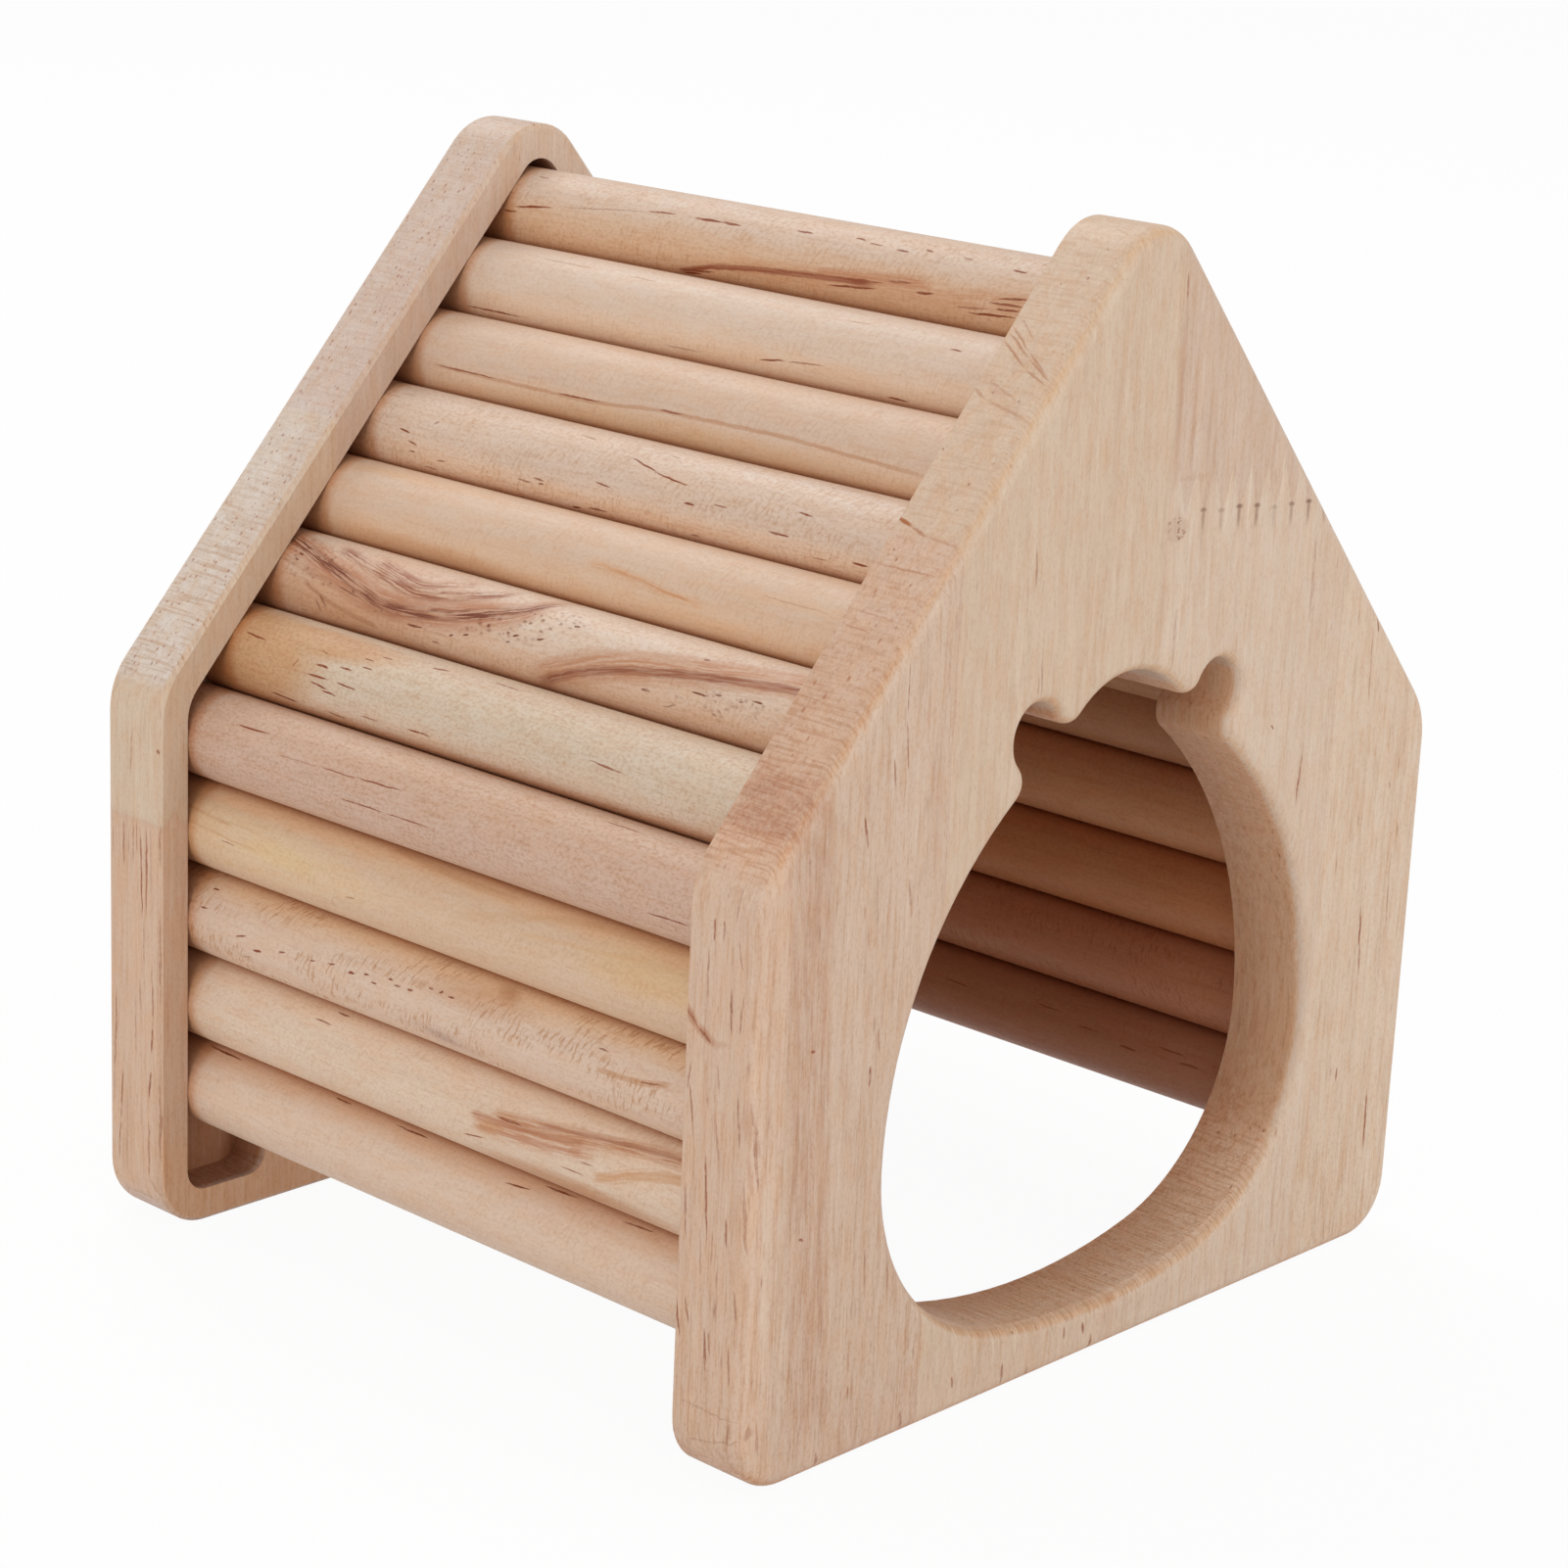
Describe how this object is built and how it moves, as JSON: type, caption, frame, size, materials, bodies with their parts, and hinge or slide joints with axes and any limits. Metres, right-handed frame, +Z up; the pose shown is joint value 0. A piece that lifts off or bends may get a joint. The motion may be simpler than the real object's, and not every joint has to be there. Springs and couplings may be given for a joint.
{
  "type": "wooden hamster house",
  "caption": "Floorless gabled wooden hideout for a hamster: two end plates joined by round rods that form the walls and roof, with a round door with small ears in the front plate.",
  "frame": {"origin": "on the ground, under the middle of the house", "axes": "+X across the house to its right seen from the front, +Y from the front plate to the back plate, +Z up"},
  "size_m": [0.129, 0.1184, 0.1433],
  "materials": {
    "plate_wood": "bare sanded rubberwood, finger-jointed board",
    "rod_wood": "bare sanded softwood and hardwood dowel"
  },
  "bodies": {
    "root": {"front_plate": "plate_wood", "back_plate": "plate_wood", "ridge_rod": "rod_wood", "left_roof_rod_1": "rod_wood", "left_roof_rod_2": "rod_wood", "left_roof_rod_3": "rod_wood", "left_roof_rod_4": "rod_wood", "left_roof_rod_5": "rod_wood", "left_roof_rod_6": "rod_wood", "left_eave_rod": "rod_wood", "left_wall_rod_1": "rod_wood", "left_wall_rod_2": "rod_wood", "left_wall_rod_3": "rod_wood", "left_wall_rod_4": "rod_wood", "right_roof_rod_1": "rod_wood", "right_roof_rod_2": "rod_wood", "right_roof_rod_3": "rod_wood", "right_roof_rod_4": "rod_wood", "right_roof_rod_5": "rod_wood", "right_roof_rod_6": "rod_wood", "right_eave_rod": "rod_wood", "right_wall_rod_1": "rod_wood", "right_wall_rod_2": "rod_wood", "right_wall_rod_3": "rod_wood", "right_wall_rod_4": "rod_wood"}
  },
  "joints": []
}
